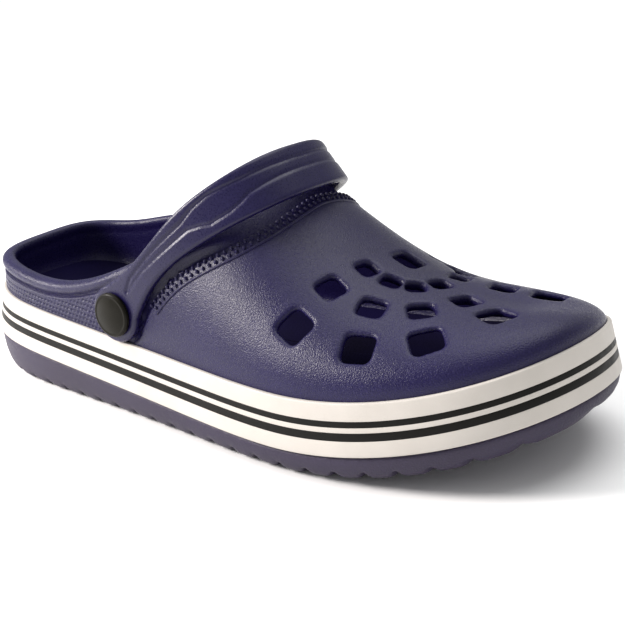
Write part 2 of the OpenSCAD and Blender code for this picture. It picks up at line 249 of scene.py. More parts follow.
def arch_fields(s, y):
    """For points (s, y) on sparse axes: the distance from the strap's centre line, positive outside the
    arch, and the length run along it."""
    step = 0.5
    gs, gy = np.arange(END_REACH, 112, step), np.arange(-70, 70, step)
    line, run = strap_line()
    line, run = line[::2], run[::2]
    tangent = np.gradient(line, axis=0)
    tangent /= np.linalg.norm(tangent, axis=1)[:, None]
    normal = np.column_stack([tangent[:, 1], -tangent[:, 0]])
    points = np.stack(np.meshgrid(gs, gy, indexing="ij"), -1).reshape(-1, 2)
    distance, length = np.empty(len(points)), np.empty(len(points))
    for k in range(0, len(points), 4000):
        d = points[k : k + 4000, None, :] - line[None]
        near = np.argmin((d * d).sum(2), 1)
        row = np.arange(len(near))
        offset = d[row, near]
        distance[k : k + 4000] = np.hypot(*offset.T) * np.sign((offset * normal[near]).sum(1) + 1e-9)
        length[k : k + 4000] = run[near] + (offset * tangent[near]).sum(1)
    shape = (len(gs), len(gy))
    i = np.clip((s - gs[0]) / step, 0, shape[0] - 1.001)
    j = np.clip((y - gy[0]) / step, 0, shape[1] - 1.001)
    i, j = np.broadcast_arrays(i, j)
    i0, j0 = i.astype(int), j.astype(int)
    a, b = i - i0, j - j0
    out = []
    for values in (distance.reshape(shape), length.reshape(shape)):
        out.append(
            (values[i0, j0] * (1 - a) + values[i0 + 1, j0] * a) * (1 - b)
            + (values[i0, j0 + 1] * (1 - a) + values[i0 + 1, j0 + 1] * a) * b
        )
    return [o.astype(np.float32) for o in out]


# ---------------------------------------------------------------- distance fields


def round_cut(a, b, r):
    """What lies in both a and b, with the edge between them rounded to radius r."""
    return np.minimum(-r, np.maximum(a, b)) + np.hypot(np.maximum(a + r, 0), np.maximum(b + r, 0))


def round_join(a, b, r):
    return -round_cut(-a, -b, r)


def bump(x, middle, width):
    return np.exp(-(((x - middle) / width) ** 2))


def blur(field):
    for axis in range(3):
        side = np.pad(field, [(1, 1) if a == axis else (0, 0) for a in range(3)], mode="edge")
        n = field.shape[axis]
        field = 0.5 * field + 0.25 * (
            np.take(side, range(0, n), axis) + np.take(side, range(2, n + 2), axis)
        )
    return field


class Block:
    """A block of voxels between two corners, in millimetres. x, y and z are its axes, ready to broadcast."""

    def __init__(self, low, high, voxel):
        self.voxel = voxel
        self.first = np.floor(np.array(low) / voxel).astype(int)
        self.shape = tuple(int(n) for n in np.ceil(np.array(high) / voxel).astype(int) - self.first + 1)
        axes = [((self.first[i] + np.arange(self.shape[i])) * voxel).astype(np.float32) for i in range(3)]
        self.x, self.y, self.z = axes[0][:, None, None], axes[1][None, :, None], axes[2][None, None, :]

    def corner(self):
        return tuple(int(i) for i in self.first)

    def distance(self, points, quads, reach):
        """Signed distance to a closed mesh, exact up to reach."""
        grid = openvdb.FloatGrid.createLevelSetFromPolygons(
            np.ascontiguousarray(points, np.float32),
            quads=np.ascontiguousarray(quads, np.uint32),
            transform=openvdb.createLinearTransform(self.voxel),
            halfWidth=reach / self.voxel,
        )
        out = np.zeros(self.shape, np.float32)
        grid.copyToArray(out, ijk=self.corner())
        return out

    def part(self, low, high):
        """The slices of the block's arrays between two corners."""
        a = np.floor(np.array(low) / self.voxel).astype(int) - self.first
        b = np.ceil(np.array(high) / self.voxel).astype(int) - self.first + 1
        return tuple(slice(max(0, int(a[i])), max(0, min(self.shape[i], int(b[i])))) for i in range(3))

    def surface(self, field):
        """(points, faces) of the zero surface, all quads."""
        grid = openvdb.FloatGrid()
        grid.copyFromArray(np.ascontiguousarray(field, np.float32), ijk=self.corner())
        grid.transform = openvdb.createLinearTransform(self.voxel)
        points, _, quads = grid.convertToPolygons(isovalue=0.0, adaptivity=0.0)
        return points.astype(float), quads.astype(int)


def strips(rows, n):
    """Quads between neighbouring rows, each a closed loop of n points."""
    k = np.arange(n)
    k2 = (k + 1) % n
    return np.concatenate(
        [
            np.column_stack([r * n + k, r * n + k2, (r + 1) * n + k2, (r + 1) * n + k])
            for r in range(rows - 1)
        ]
    )


def stacked(loops):
    """A closed quad mesh from loops stacked from the lowest up, with strips from side to side as lids."""
    n = len(loops[0])
    points = np.concatenate(loops)
    a = np.arange(n // 2)
    lid = np.column_stack([a, a + 1, (n - a - 1) % n, (n - a) % n])
    return points, np.concatenate([lid[:, ::-1], strips(len(loops), n), lid + (len(loops) - 1) * n])


def dome_mesh(thick, foot, rows=60):
    """The closed solid under the dome, standing at height foot."""
    v = np.arange(rows) / rows
    columns = dome(thick, v)
    points, faces = stacked([loop(BAND_EDGE + thick, foot), *columns])
    n, last = LOOP, rows * LOOP
    faces = faces[: -(n // 2)]
    r = ridge()[: n // 2 + 1] - [0, 0, thick]
    k = np.arange(n)
    k2 = (k + 1) % n
    top = len(points)
    seam = np.column_stack([last + k, last + k2, top + np.minimum(k2, n - k2), top + np.minimum(k, n - k)])
    return np.concatenate([points, r]), np.concatenate([faces, seam])


# ---------------------------------------------------------------- meshes and pieces

MM = 1000  # to the metre
cap_low, cap_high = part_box("rivet_cap_lateral")
_, medial_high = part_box("rivet_cap_medial")
SHIFT = np.array(
    [
        MM * (cap_low.x + cap_high.x) / 2 - RIVET_X,
        MM * (cap_low.y + medial_high.y) / 2 - sum(BOSS_Y) / 2,
        0,
    ]
)


def place(points):
    return (np.asarray(points, float) + SHIFT) / MM


def mesh_piece(name, points, faces, material, body, node):
    """A piece on a body. It stands for a node, or for none where it is relief on another piece."""
    mesh = bpy.data.meshes.new(name)
    faces = np.asarray(faces)
    mesh.vertices.add(len(points))
    mesh.vertices.foreach_set("co", place(points).astype(np.float32).ravel())
    mesh.loops.add(faces.size)
    mesh.loops.foreach_set("vertex_index", faces.astype(np.int32).ravel())
    mesh.polygons.add(len(faces))
    mesh.polygons.foreach_set("loop_start", (np.arange(len(faces)) * faces.shape[1]).astype(np.int32))
    mesh.update(calc_edges=True)
    mesh.validate()
    mesh.polygons.foreach_set("use_smooth", [True] * len(mesh.polygons))
    piece = bpy.data.objects.new(name, mesh)
    bpy.context.scene.collection.objects.link(piece)
    mesh.materials.append(material)
    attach(piece, body)
    if node:
        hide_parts(node)
    return piece


def apply_modifier(piece, kind, **settings):
    modifier = piece.modifiers.new(kind.title(), kind)
    for key, value in settings.items():
        setattr(modifier, key, value)
    bpy.context.view_layer.update()
    result = bpy.data.meshes.new_from_object(piece.evaluated_get(bpy.context.evaluated_depsgraph_get()))
    piece.modifiers.clear()
    old, piece.data = piece.data, result
    result.name = old.name
    bpy.data.meshes.remove(old)


def thin_out(piece, triangles):
    """Fewer faces where the surface is plain."""
    now = sum(len(p.vertices) - 2 for p in piece.data.polygons)
    if now > triangles:
        apply_modifier(piece, "DECIMATE", ratio=triangles / now)
    piece.data.polygons.foreach_set("use_smooth", [True] * len(piece.data.polygons))


def even_out(points, faces, times=2, factor=0.5):
    """Laplacian smoothing of a quad mesh."""
    i, j = faces.ravel(), np.roll(faces, -1, 1).ravel()
    count = np.bincount(i, minlength=len(points)) + np.bincount(j, minlength=len(points))
    for _ in range(times):
        total = np.stack(
            [
                np.bincount(i, points[j, a], len(points)) + np.bincount(j, points[i, a], len(points))
                for a in range(3)
            ],
            1,
        )
        points = points + factor * (total / count[:, None] - points)
    return points


# ---------------------------------------------------------------- materials


class Nodes:
    """A short way to write a material's node tree."""

    def __init__(self, name):
        self.material = bpy.data.materials.new(name)
        self.material.use_nodes = True
        self.tree = self.material.node_tree
        self.shader = self.tree.nodes["Principled BSDF"]
        self.position = self.add("ShaderNodeTexCoord").outputs["Object"]

    def add(self, kind, inputs=None, **settings):
        node = self.tree.nodes.new(kind)
        for key, value in settings.items():
            setattr(node, key, value)
        for key, value in (inputs or {}).items():
            self.connect(value, node.inputs[key])
        return node

    def connect(self, value, socket):
        if isinstance(value, bpy.types.NodeSocket):
            self.tree.links.new(value, socket)
        else:
            socket.default_value = value

    def noise(self, scale, detail, roughness=0.5):
        return self.add(
            "ShaderNodeTexNoise",
            {"Vector": self.position, "Scale": scale, "Detail": detail, "Roughness": roughness},
        ).outputs["Fac"]

    def ramp(self, value, low, high, to_low=0.0, to_high=1.0):
        return self.add(
            "ShaderNodeMapRange",
            {"Value": value, "From Min": low, "From Max": high, "To Min": to_low, "To Max": to_high},
        ).outputs["Result"]

    def math(self, operation, a, b):
        return self.add("ShaderNodeMath", {0: a, 1: b}, operation=operation).outputs[0]

    def mix(self, factor, a, b):
        node = self.add("ShaderNodeMix", data_type="RGBA")
        for socket, value in ((node.inputs[0], factor), (node.inputs[6], a), (node.inputs[7], b)):
            self.connect(value, socket)
        return node.outputs[2]

    def set(self, **values):
        for key, value in values.items():
            self.connect(value, self.shader.inputs[key.replace("_", " ")])

    def bump(self, height, distance):
        inputs = {"Height": height, "Distance": distance, "Strength": 1.0}
        return self.add("ShaderNodeBump", inputs).outputs["Normal"]


def rgb(r, g, b):
    return (r, g, b, 1.0)


def foam(name, colour, deep, grain, cell, rough, specular, painted_glint_share):
    """Moulded EVA foam: slight clouding, a fine pebble grain in the bump and gloss, and pale speckles painted
    into the colour as glints off the grain.
    """
    n = Nodes(name)
    cloud = n.mix(n.ramp(n.noise(18, 3), 0.3, 0.7), rgb(*deep), rgb(*colour))
    fine = n.noise(1500, 1)
    # Pale speckles painted into the colour stand in for the glints of light off the grain
    painted_glint_colour = rgb(*(2 * c + 0.004 for c in colour))
    n.set(
        Base_Color=n.mix(n.ramp(fine, 0.52, 0.72, 0.0, painted_glint_share), cloud, painted_glint_colour),
        Roughness=n.ramp(fine, 0.35, 0.65, *rough),
        Specular_IOR_Level=specular,
    )
    cells = n.add(
        "ShaderNodeTexVoronoi", {"Vector": n.position, "Scale": cell, "Randomness": 1.0}, feature="SMOOTH_F1"
    ).outputs["Distance"]
    height = n.math("ADD", n.math("MULTIPLY", cells, -1.0), n.math("MULTIPLY", n.noise(cell * 1.3, 2), 0.6))
    n.set(Normal=n.bump(height, grain))
    return n.material


NAVY, NAVY_DEEP = (0.0085, 0.0055, 0.047), (0.0060, 0.0042, 0.032)
upper_foam = foam(
    "upper_foam", NAVY, NAVY_DEEP,
    grain=0.00013, cell=2400, rough=(0.27, 0.40), specular=0.30, painted_glint_share=0.3,
)
strap_foam = foam(
    "strap_foam", NAVY, NAVY_DEEP,
    grain=0.00005, cell=2600, rough=(0.27, 0.38), specular=0.34, painted_glint_share=0.25,
)
# The insole takes the deep navy and a near-black, darker than the upper: painted shade for the dark inside of
# the shoe
footbed_foam = foam(
    "footbed_foam", NAVY_DEEP, (0.005, 0.004, 0.012),
    grain=0.0001, cell=1500, rough=(0.7, 0.85), specular=0.04, painted_glint_share=0.1,
)
outsole_rubber = foam(
    "outsole_rubber", (0.031, 0.024, 0.050), (0.026, 0.020, 0.041),
    grain=0.00012, cell=1600, rough=(0.46, 0.6), specular=0.32, painted_glint_share=0.3,
)


def plain(name, colour, deep, rough, grain, scale, specular=0.4):
    """Smooth rubber or plastic with faint clouding and a very fine texture."""
    n = Nodes(name)
    n.set(
        Base_Color=n.mix(n.ramp(n.noise(60, 4), 0.3, 0.7), rgb(*deep), rgb(*colour)),
        Roughness=n.ramp(n.noise(300, 2), 0.3, 0.7, *rough),
        Specular_IOR_Level=specular,
        Normal=n.bump(n.noise(scale, 3, 0.6), grain),
    )
    return n.material


band_white = plain(
    "band_white", (0.565, 0.53, 0.49), (0.52, 0.487, 0.447), (0.42, 0.55), 0.00006, 1500
)
midsole_foam = plain(
    "midsole_foam", (0.80, 0.77, 0.72), (0.72, 0.69, 0.64), (0.55, 0.7), 0.0001, 900
)
stripe_black = plain(
    "stripe_black", (0.0055, 0.005, 0.004), (0.0035, 0.0033, 0.0028), (0.42, 0.54), 0.00003, 1500, 0.16
)
rivet_plastic = plain(
    "rivet_plastic", (0.0090, 0.0080, 0.0050), (0.0062, 0.0055, 0.0036), (0.30, 0.40), 0.00003, 2500, 0.10
)

# ---------------------------------------------------------------- the upper

VOXEL = 0.8
SEAT_FROM = [-14, -10.5, -7.2, -6.2, -6.8, -9, -12, -12.5, -9.5, -9, -9]  # lower edge of the strap's seat


def seat_edge(s):
    return profile(SEAT_FROM, s, 10)


ROLL_AT, ROLL_HALF, ROLL_OUT = 2.6, 3.0, 1.5  # the rolled collar around the heel
GROOVE_DEEP = 1.2  # the groove under the collar
FILLET = 12.0  # between the inner wall and the footbed
BED_BELOW, BED_THICK = 1.8, 1.6  # the slab the fillet runs into, kept below the top of the insole
SEAT_ROOM, CHANNEL_DEEP = 1.2, 1.3  # under the strap
VENT_LIP = 0.5  # the rounded lip makes a vent wider than its hole
VENT_REACH_IN = 8  # how far a vent is cut to each side of the dome
HUB_GROWTH = 1.7  # the middle vent, in steps of growth
PANEL_DEEP = 0.8  # the dimpled panel around the heel is a piece of its own, let in this deep
PANEL_END = 89.0
PANEL_TOP_EDGE = 6.5  # below the rim


def panel_share(x):
    return 1 - smoothstep(PANEL_END, PANEL_END + 1.6, x)


def vent_places():
    yield HUB[0], HUB[1], 0.0, VENT_SMALL + HUB_GROWTH * VENT_GROWTH
    for i, (ray, share) in enumerate(zip(VENT_RAYS, VENT_REACH)):
        for side in (-1, 1):
            angle = math.radians(VENT_AXIS + side * ray)
            for row in range(2 if side > 0 and i > 0 else 3):
                reach = (VENT_FIRST + row * VENT_STEP) * share
                yield (
                    HUB[0] + reach * math.cos(angle),
                    HUB[1] + reach * math.sin(angle),
                    angle,
                    VENT_SMALL + row * VENT_GROWTH,
                )


def dome_sites():
    """Points and outward normals over the dome, for placing things on it."""
    v = np.arange(1, 120) / 120
    p = dome(0, v)
    along, up = np.roll(p, -1, 1) - np.roll(p, 1, 1), np.gradient(p, axis=0)
    n = np.cross(along, up)
    n /= np.linalg.norm(n, axis=2)[..., None]
    return p.reshape(-1, 3), n.reshape(-1, 3)


def upper_field(block):
    x, y, z = block.x, block.y, block.z
    outer = block.distance(*dome_mesh(0, FOOT + GLUE), reach=9 * VOXEL)
    inner = block.distance(*dome_mesh(WALL, FOOT - 2), reach=FILLET + 2)
    t = below_rim(x, y, z)
    heel = 1 - smoothstep(88, 104, x)
    # The rolled collar around the heel, the groove under it, and the panel below that
    roll = np.clip(1 - ((t - ROLL_AT) / ROLL_HALF) ** 2, 0, 1)
    groove_deep = GROOVE_DEEP * bump(t, PANEL_TOP_EDGE - 0.6, 0.8)
    panel = PANEL_DEEP * smoothstep(PANEL_TOP_EDGE - 0.5, PANEL_TOP_EDGE + 0.5, t) * panel_share(x)
    outer -= heel * (ROLL_OUT * roll - groove_deep - panel)
    # A low ridge inside, where the lining of the mould ended
    inner -= heel * 0.35 * bump(t, 5.5, 1.0)
    # Creases on the inside of the inner wall
    wave = np.sin(1.15 * t + 1.1 * np.sin(x / 9) + 0.6 * np.sin(x / 3.7 + 1))
    crease = wave * bump(t, 7, 4) * bump(x, 112, 26)
    inner += 0.32 * crease * smoothstep(5, 20, y)
    s, w = to_strap(x, z)
    edge = seat_edge(s)
    arch, _ = arch_fields(s, y)
    # The inner wall runs into the footbed in a wide fillet
    bed = z - FOOT + BED_BELOW - rise(x) + 0 * y
    inner = -round_join(-inner, np.maximum(bed, -BED_THICK - bed), FILLET)
    field = round_cut(outer, -inner, 1.2)
    rim = -t / np.sqrt(1 + ((topline(x + 1, y) - topline(x - 1, y)) / 2) ** 2)
    field = round_cut(field, rim, 2.2)
    channel = CHANNEL_DEEP * (1 - smoothstep(2.5, 5.5, w - edge)) * smoothstep(12, 26, s)
    seat = np.maximum.reduce(
        np.broadcast_arrays(
            -(arch + STRAP_THICK / 2 + SEAT_ROOM + channel), edge - w, w - 16, 8 - s
        )
    )
    field = round_cut(field, -seat, 0.8)
    rivet = np.hypot(x - RIVET_X, z - RIVET_Z)
    floor = BAND_TOP + rise(RIVET_X - BOSS_R) + 0.2 - z
    for face, side in zip(BOSS_Y, (-1, 1)):
        out = side * (y - face)  # positive outside the boss face
        boss = np.maximum(round_cut(rivet - BOSS_R, np.maximum(out, -out - BOSS_DEEP), 0.8), floor)
        field = round_join(field, boss, 1.5)
        field = round_cut(field, -np.maximum(rivet - LOBE_R - 1.5, -out), 0.6)
        field = np.maximum(field, -(np.maximum(rivet - SHANK_D / 2 - 0.15, -out - 12)))
        field = np.maximum(field, -(np.maximum(rivet - 8.3, out + BOSS_DEEP)))
    sites, normals = dome_sites()
    for vx, vy, angle, size in vent_places():
        near = np.argmin((sites[:, 0] - vx) ** 2 + (sites[:, 1] - vy) ** 2)
        centre, n = sites[near], normals[near]
        size += VENT_LIP
        ray = np.array([math.cos(angle), math.sin(angle), 0])
        u = ray - n * (ray @ n)
        u /= np.linalg.norm(u)
        v = np.cross(n, u)
        part = block.part(centre - size - VENT_REACH_IN, centre + size + VENT_REACH_IN)
        dx, dy, dz = x[part[0]] - centre[0], y[:, part[1]] - centre[1], z[:, :, part[2]] - centre[2]
        a, b, c = (dx * m[0] + dy * m[1] + dz * m[2] for m in (u, v, n))
        corner = size / 5
        qa, qb = np.abs(a) - size / 2 + corner, np.abs(b) - size / 2 + corner
        hole = np.hypot(np.maximum(qa, 0), np.maximum(qb, 0)) + np.minimum(np.maximum(qa, qb), 0)
        hole = np.maximum(hole - corner, np.abs(c) - VENT_REACH_IN)
        field[part] = round_cut(field[part], -hole, 1.3)
    return blur(field)


block = Block((-4, -64, 18), (294, 64, 112), VOXEL)
points, faces = block.surface(upper_field(block))
upper = mesh_piece(
    "upper_shell", even_out(points, faces), faces, upper_foam, "shoe", "upper"
)
thin_out(upper, 185000)

# ---------------------------------------------------------------- the dimpled panel and the studs

DIMPLE_ROW, DIMPLE_PITCH = 2.05, 2.35
DIMPLE_DEEP, DIMPLE_SIZE, DIMPLE_STRETCH = 0.6, 0.52, 1.15
PANEL_BACK = 1.6  # how deep the panel's back lies

def dome_at(u, v):
    """Columns of the dome at outline parameters u, an array (len(v), len(u), 3)."""
    columns = dome(0, v)
    place_in = np.mod(u, len(OUTLINE)) / len(OUTLINE) * LOOP
    i = np.floor(place_in).astype(int)
    t = (place_in - i)[None, :, None]
    return columns[:, i % LOOP] * (1 - t) + columns[:, (i + 1) % LOOP] * t


def heel_panel():
    """A slab let into the heel quarter, from behind the band up to the groove under the collar."""
    reach = 4.2
    u = np.linspace(-reach, reach, 900)
    base = outline_at(u)
    keep = base[:, 0] < PANEL_END + 1.2
    u, base = u[keep], base[keep]
    along = np.concatenate([[0], np.cumsum(np.hypot(*np.diff(base, axis=0).T))])
    v = np.linspace(0, 0.8, 160)
    columns = dome_at(u, v)
    rows = 44
    depth = below_rim(columns[..., 0], columns[..., 1], columns[..., 2])
    foot = BAND_TOP + rise(base[:, 0]) - 0.8
    out = np.column_stack([outward(u), 0 * u])
    front, back = [], []
    for k in range(len(u)):
        z = columns[:, k, 2]
        top = np.interp(-PANEL_TOP_EDGE, -depth[:, k], z)
        heights = np.linspace(foot[k], top, rows)
        points = np.column_stack([np.interp(heights, z, columns[:, k, i]) for i in (0, 1)] + [heights])
        high = heights - foot[k]
        row = np.round(high / DIMPLE_ROW)
        shifted = along[k] / DIMPLE_PITCH + 0.5 * (row % 2)
        along_row = (shifted - np.round(shifted)) * DIMPLE_PITCH / DIMPLE_STRETCH
        d = np.hypot(along_row, high - row * DIMPLE_ROW)
        dimple = DIMPLE_DEEP * np.exp(-((d / DIMPLE_SIZE) ** 2)) * smoothstep(0.8, 1.6, top - heights)
        lip = 0.25 - 0.9 * (1 - smoothstep(0, 0.7, top - heights))
        front.append(points + out[k] * (lip - dimple)[:, None])
        back.append(points - out[k] * PANEL_BACK)
    front, back = np.array(front), np.array(back)
    size = len(u) * rows
    grid = np.arange(size).reshape(len(u), rows)
    a, b, c, d = grid[:-1, :-1], grid[1:, :-1], grid[1:, 1:], grid[:-1, 1:]
    face = np.stack([a, b, c, d], -1).reshape(-1, 4)
    border = np.concatenate([grid[:, 0], grid[-1, 1:], grid[-2::-1, -1], grid[0, -2:0:-1]])
    after = np.roll(border, -1)
    side = np.column_stack([after, border, border + size, after + size])
    points = np.concatenate([front.reshape(-1, 3), back.reshape(-1, 3)])
    return points, np.concatenate([face, face[:, ::-1] + size, side])


points, faces = heel_panel()
mesh_piece("heel_panel", points, faces, upper_foam, "shoe", None)

# Path of the studs below the strap's seat, up to the middle of the foot. The inner half mirrors it.
STUD_PATH = [
    (122, -47, 47), (127.6, -46, 53.1), (133.4, -45, 58.6), (139.9, -43.8, 63.3), (149, -40.8, 68),
    (158.5, -36, 72.4), (165, -29, 76.5), (169, -20.5, 80), (170, -8, 83.5), (169.2, 2, 85),
]
STUD_PITCH, STUD_ROWS, STUD_BEAD = 2.9, (-1.15, 1.15), 3.1
STUD_R, BEAD_R = (0.72, 0.95, 0.85), 0.55


def on_dome(points):
    """Points moved onto the dome, with its normals there."""
    sites, normals = dome_sites()
    near = [int(np.argmin(((sites - p) ** 2).sum(1))) for p in points]
    n = normals[near]
    return points - n * ((points - sites[near]) * n).sum(1)[:, None], n


def seat_studs():
    path = STUD_PATH + [(x, 4 - y, z) for x, y, z in STUD_PATH[-2::-1]]
    t = np.linspace(0, len(path) - 1, 1500)
    line = np.column_stack([profile([p[i] for p in path], t, 1) for i in range(3)])
    run = np.concatenate([[0], np.cumsum(np.linalg.norm(np.diff(line, axis=0), axis=1))])
    step = STUD_PITCH / 2
    centre = np.column_stack([np.interp(np.arange(step, run[-1], step), run, line[:, i]) for i in range(3)])
    centre, n = on_dome(centre)
    ahead = np.gradient(centre, axis=0)
    ahead -= n * (ahead * n).sum(1)[:, None]
    ahead /= np.linalg.norm(ahead, axis=1)[:, None]
    across = np.cross(ahead, n)
    points, faces = [], []
    turns, rings = 10, 6
    lat = np.radians(np.linspace(-80, 80, rings))
    lon = np.arange(turns) * 2 * math.pi / turns
    ring = np.cos(lat)[:, None]
    ball = np.stack(
        np.broadcast_arrays(
            ring * np.cos(lon) * STUD_R[0], ring * np.sin(lon) * STUD_R[1], np.sin(lat)[:, None] * STUD_R[2]
        ),
        -1,
    ).reshape(-1, 3)
    half = np.arange(turns // 2 - 1)
    lid = np.column_stack([half, half + 1, turns - half - 2, turns - half - 1])
    shell = np.concatenate([strips(rings, turns), lid[:, ::-1], lid + (rings - 1) * turns])
    for i in range(len(centre)):
        middle = centre[i] + across[i] * STUD_ROWS[i % 2] + n[i] * 0.05
        faces.append(shell + sum(len(p) for p in points))
        points.append(middle + ball @ np.stack([ahead[i], across[i], n[i]]))
    # A fine bead runs along below the studs
    bead, bead_n = on_dome(centre + across * STUD_BEAD)
    angles = np.arange(8) * math.pi / 4
    tube = np.stack([bead + BEAD_R * (math.cos(a) * across + math.sin(a) * bead_n) for a in angles], 1)
    grid = np.arange(tube.shape[0] * 8).reshape(-1, 8) + sum(len(p) for p in points)
    nxt = np.roll(grid, -1, 1)
    faces.append(np.stack([grid[:-1], nxt[:-1], nxt[1:], grid[1:]], -1).reshape(-1, 4))
    for end, flip in ((grid[0], True), (grid[-1], False)):
        caps = end[np.array([[0, 1, 2, 3], [0, 3, 4, 7], [4, 5, 6, 7]])]
        faces.append(caps[:, ::-1] if flip else caps)
    points.append(tube.reshape(-1, 3))
    return np.concatenate(points), np.concatenate(faces)


points, faces = seat_studs()
mesh_piece("seat_studs", points, faces, upper_foam, "shoe", None)

# ---------------------------------------------------------------- the strap

# The two moulded lines of the strap: how far along it, and at which breadth
UPPER_LINE = [
    (13, 2.9), (19, 5.3), (34, 6.8), (53, 7.0), (60, 8.6), (68, 8.8), (82, 6.0), (90, 5.2), (98, 4.5),
    (112, 4.1),
]
LOWER_LINE = [
    (13, 2.1), (25, 3.7), (36, 3.6), (54, 3.1), (59, 1.2), (63, -1.0), (72, -2.0), (77, -1.6),
    (81.5, -0.4), (112, -0.7),
]
LINE_DEEP, BETWEEN_DEEP = 0.65, 0.25
STRAP_VOXEL = 0.42


def strap_field(block):
    s, y, w = block.x, block.y, block.z
    arch, run = arch_fields(s, y)
    lobe = np.hypot(s, w) - LOBE_R
    arm = np.maximum(np.abs(w - strap_bend(s)) - strap_half_width(s), -s)
    side = np.minimum(lobe, arm)
    middle = strap_line()[1][-END_POINTS - 1] / 2
    run = middle - np.abs(run - middle)
    top, foot = (
        np.interp(run, *np.array(rows).T).astype(np.float32) for rows in (UPPER_LINE, LOWER_LINE)
    )
    inside = smoothstep(12.6, 13.4, run)
    panel = smoothstep(-0.4, 0.4, top - w) * smoothstep(-0.4, 0.4, w - foot) * inside
    line = np.maximum(bump(w, top, 0.5), bump(w, foot, 0.5)) * smoothstep(12, 13, run)
    carve = np.where(arch > 0, BETWEEN_DEEP * panel + LINE_DEEP * line, 0)
    field = round_cut(np.abs(arch) - STRAP_THICK / 2 + carve, side, 1.5)
    field = np.maximum(field, SHANK_D / 2 + 0.05 - np.hypot(s, w))
    return blur(field)


block = Block((-15, -54, -16), (94, 52, 17), STRAP_VOXEL)
points, faces = block.surface(strap_field(block))
points = from_strap(even_out(points, faces, 1))
strap = mesh_piece("strap_arch", points, faces, strap_foam, "strap", "heel_strap")
thin_out(strap, 150000)

# ---------------------------------------------------------------- the sole


def ring_piece(name, section, material, node):
    """A closed ring around the shoe from section points (inset, height over the base line)."""
    points = np.concatenate([loop(inset, z) for inset, z in section])
    faces = strips(len(section) + 1, LOOP) % len(points)
    mesh_piece(name, points, faces, material, "shoe", node)


def rounded(corners, steps=4):
    """A section with its corners rounded. A corner is (inset, height, radius)."""
    out = []
    n = len(corners)
    for i, corner in enumerate(corners):
        p = np.array(corner[:2], float)
        before = np.array(corners[i - 1][:2], float) - p
        after = np.array(corners[(i + 1) % n][:2], float) - p
        r = min(corner[2], 0.45 * np.linalg.norm(before), 0.45 * np.linalg.norm(after))
        a, b = p + before / np.linalg.norm(before) * r, p + after / np.linalg.norm(after) * r
        for t in np.linspace(0, 1, steps + 1):
            out.append(tuple((1 - t) ** 2 * a + 2 * t * (1 - t) * p + t * t * b))
    return out


BAND_FOOT = BAND_BOTTOM + GLUE
STRIPE_DEPTH = 1.0
LOW_STRIPE, HIGH_STRIPE = (0.303, 0.457), (0.551, 0.668)


def face_point(share, depth, radius):
    return (-BAND_LEAN * (1 - share) + depth, BAND_FOOT + share * (BAND_TOP - BAND_FOOT), radius)


def slot_corners(stripe, depth, radius):
    """Corners of a groove, or of the strip in it, from a depth behind the band's face."""
    low, high = stripe
    places = ((low, depth), (low, STRIPE_DEPTH), (high, STRIPE_DEPTH), (high, depth))
    return [face_point(share, deep, radius) for share, deep in places]


GROOVE_R, STRIPE_R, STRIPE_BACK = 0.15, 0.2, 0.04
band_section = [
    face_point(0, 0, 0.9), *slot_corners(LOW_STRIPE, 0, GROOVE_R),
    *slot_corners(HIGH_STRIPE, 0, GROOVE_R), face_point(1, 0, 0.8),
    (BAND_EDGE + 0.02, BAND_TOP, 0.3), (BAND_EDGE + 0.02, BAND_FOOT, 0.3),
]
ring_piece("foxing", rounded(band_section), band_white, "foxing_band")
for name, node, stripe in (
    ("stripe_low", "stripe_lower", LOW_STRIPE),
    ("stripe_high", "stripe_upper", HIGH_STRIPE),
):
    section = rounded(slot_corners(stripe, STRIPE_BACK, STRIPE_R))
    ring_piece(name, section, stripe_black, node)

SOLE_VOXEL = 0.85


def outsole_field(block):
    x, y, z = block.x, block.y, block.z
    loops = [
        tread_loop(i, s)
        for i, s in (
            (SOLE_INSET + 6, 0), (SOLE_INSET - 1.2, 0), (0.3, 0.08), (-1.4, 0.25), (-2.6, 0.5),
            (-3.1, 0.75), (-3.3, 1), (BAND_EDGE, 1), (BAND_EDGE + WALL, 1), (BAND_EDGE + 15, 1),
        )
    ]
    field = block.distance(*stacked(loops), reach=6)
    low = toe_rise(x) + heel_round(x)
    phase = (x + 0.9 * np.sin(y / 9)) / TREAD_PITCH
    # The gaps grow wider and deeper at the edge, which leaves scalloped lugs
    prism = stacked([loop(-3.3, -30), loop(-3.3, 60)])
    edge = smoothstep(-9, -1, block.distance(*prism, reach=10))
    gap = np.abs(phase - np.round(phase)) * TREAD_PITCH - TREAD_GAP / 2 - 1.2 * edge
    gap = gap + (0.4 + 1.2 * edge) * (z - low) / TREAD_DEPTH
    gaps = np.maximum(gap, z - low - TREAD_DEPTH - 2.2 * edge)
    field = round_cut(field, -gaps, 0.7)
    arch = np.hypot(x - 118, np.maximum(np.abs(y) - 24, 0)) - 15.5
    field = round_cut(field, -np.maximum(arch, z - 4), 1.0)
    return blur(field)


block = Block((-6, -66, -2), (296, 66, 42), SOLE_VOXEL)
points, faces = block.surface(outsole_field(block))
points[:, 2] = np.maximum(points[:, 2], 0)
points = even_out(points, faces)
sole = mesh_piece("tread_sole", points, faces, outsole_rubber, "shoe", "outsole")
thin_out(sole, 150000)

# ---------------------------------------------------------------- the footbed

BED_LINE, BED_ENDS = [0, 0, 0, -2, -3, 0, 3, 4, 4, 4], (42, 246)  # the loops close towards this line
BED_EDGE, BED_DISH = 5.3, 3.2  # height of the edge over the foot's level, and how far the middle dips

